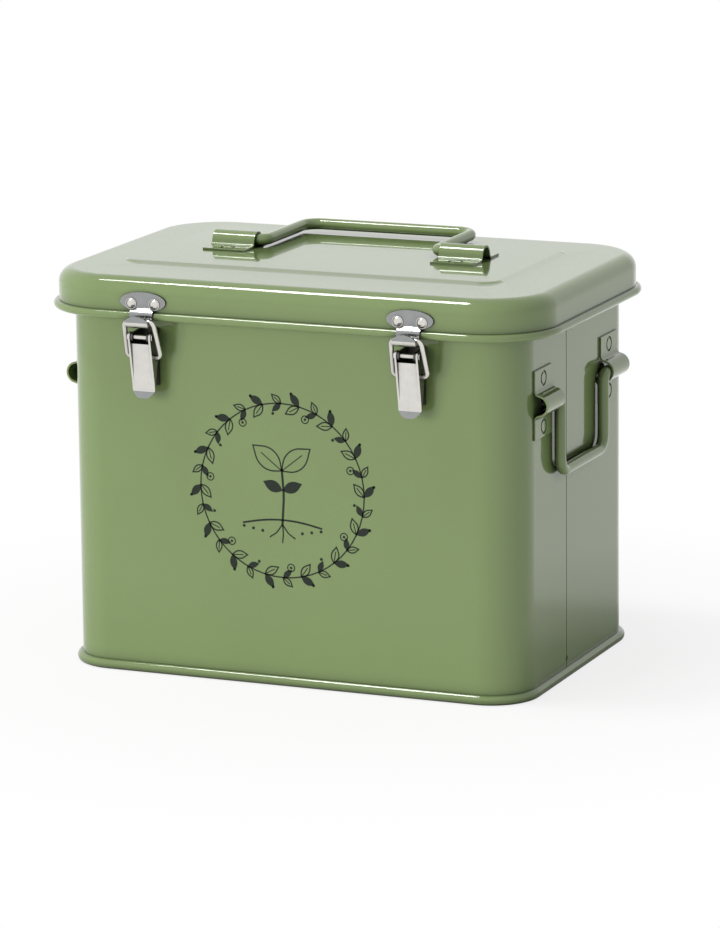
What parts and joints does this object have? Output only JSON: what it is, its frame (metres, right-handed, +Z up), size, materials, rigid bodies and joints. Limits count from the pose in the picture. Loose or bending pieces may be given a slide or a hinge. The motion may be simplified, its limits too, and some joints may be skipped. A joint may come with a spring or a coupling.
{
  "type": "garden seed organizer box",
  "caption": "Enamelled steel box with a hinged lid, wire handles, draw latches and index cards for seed packets.",
  "frame": {"origin": "middle of the base's flat underside", "axes": "+X to the right along the front, +Y to the back where the lid hinges, +Z up"},
  "size_m": [0.215, 0.1517, 0.1681],
  "materials": {
    "enamel": "gloss",
    "nickel": "polished",
    "inner_sheet": "gloss",
    "card": "matte"
  },
  "bodies": {
    "box": {"body_wall": "enamel", "base_pan": "enamel", "partition": "inner_sheet", "left_clip_front": "enamel", "left_clip_back": "enamel", "latch_base_left": "nickel", "latch_base_rivets_left": "nickel", "latch_pin_left": "nickel", "hinge_body_leaf_left": "enamel", "hinge_pin_left": "enamel", "hinge_body_rivets_left": "enamel", "index_card_left_1": "card", "index_card_left_2": "card", "index_card_left_3": "card", "right_clip_front": "enamel", "right_clip_back": "enamel", "latch_base_right": "nickel", "latch_base_rivets_right": "nickel", "latch_pin_right": "nickel", "hinge_body_leaf_right": "enamel", "hinge_pin_right": "enamel", "hinge_body_rivets_right": "enamel", "index_card_right_1": "card", "index_card_right_2": "card", "index_card_right_3": "card"},
    "lid": {"lid_shell": "enamel", "lid_clip_left": "enamel", "keeper_left": "nickel", "keeper_rivets_left": "nickel", "hinge_lid_leaf_left": "enamel", "hinge_lid_rivets_left": "enamel", "lid_clip_right": "enamel", "keeper_right": "nickel", "keeper_rivets_right": "nickel", "hinge_lid_leaf_right": "enamel", "hinge_lid_rivets_right": "enamel"},
    "lid_handle": {"lid_handle": "enamel"},
    "left_handle": {"left_handle": "enamel"},
    "latch_lever_left": {"latch_lever_left": "nickel"},
    "latch_loop_left": {"latch_loop_left": "nickel"},
    "right_handle": {"right_handle": "enamel"},
    "latch_lever_right": {"latch_lever_right": "nickel"},
    "latch_loop_right": {"latch_loop_right": "nickel"}
  },
  "joints": [
    {"name": "lid_hinge", "type": "hinge", "parent": "box", "child": "lid", "pos_m": [0, 0.0715, 0.1402], "axis": [-1, 0, 0], "range_deg": [0, 105]},
    {"name": "lid_handle_swing", "type": "hinge", "parent": "lid", "child": "lid_handle", "pos_m": [-0.003, 0.0085, 0.1648], "axis": [1, 0, 0], "range_deg": [0, 180]},
    {"name": "left_handle_swing", "type": "hinge", "parent": "box", "child": "left_handle", "pos_m": [-0.1001, -0.0014, 0.1166], "axis": [0, 1, 0], "range_deg": [0, 150]},
    {"name": "latch_lever_left_turn", "type": "hinge", "parent": "box", "child": "latch_lever_left", "pos_m": [-0.0577, -0.0733, 0.1384], "axis": [-1, 0, 0], "range_deg": [0, 100]},
    {"name": "latch_loop_left_turn", "type": "hinge", "parent": "latch_lever_left", "child": "latch_loop_left", "pos_m": [-0.0577, -0.0704, 0.13], "axis": [1, 0, 0], "range_deg": [0, 50]},
    {"name": "right_handle_swing", "type": "hinge", "parent": "box", "child": "right_handle", "pos_m": [0.1001, -0.0014, 0.1166], "axis": [0, -1, 0], "range_deg": [0, 150]},
    {"name": "latch_lever_right_turn", "type": "hinge", "parent": "box", "child": "latch_lever_right", "pos_m": [0.0555, -0.0733, 0.1384], "axis": [-1, 0, 0], "range_deg": [0, 100]},
    {"name": "latch_loop_right_turn", "type": "hinge", "parent": "latch_lever_right", "child": "latch_loop_right", "pos_m": [0.0555, -0.0704, 0.13], "axis": [1, 0, 0], "range_deg": [0, 50]}
  ],
  "couplings": [
    {"joint": "latch_loop_left_turn", "follows": "latch_lever_left_turn", "ratio": 0.5},
    {"joint": "latch_loop_right_turn", "follows": "latch_lever_right_turn", "ratio": 0.5}
  ]
}
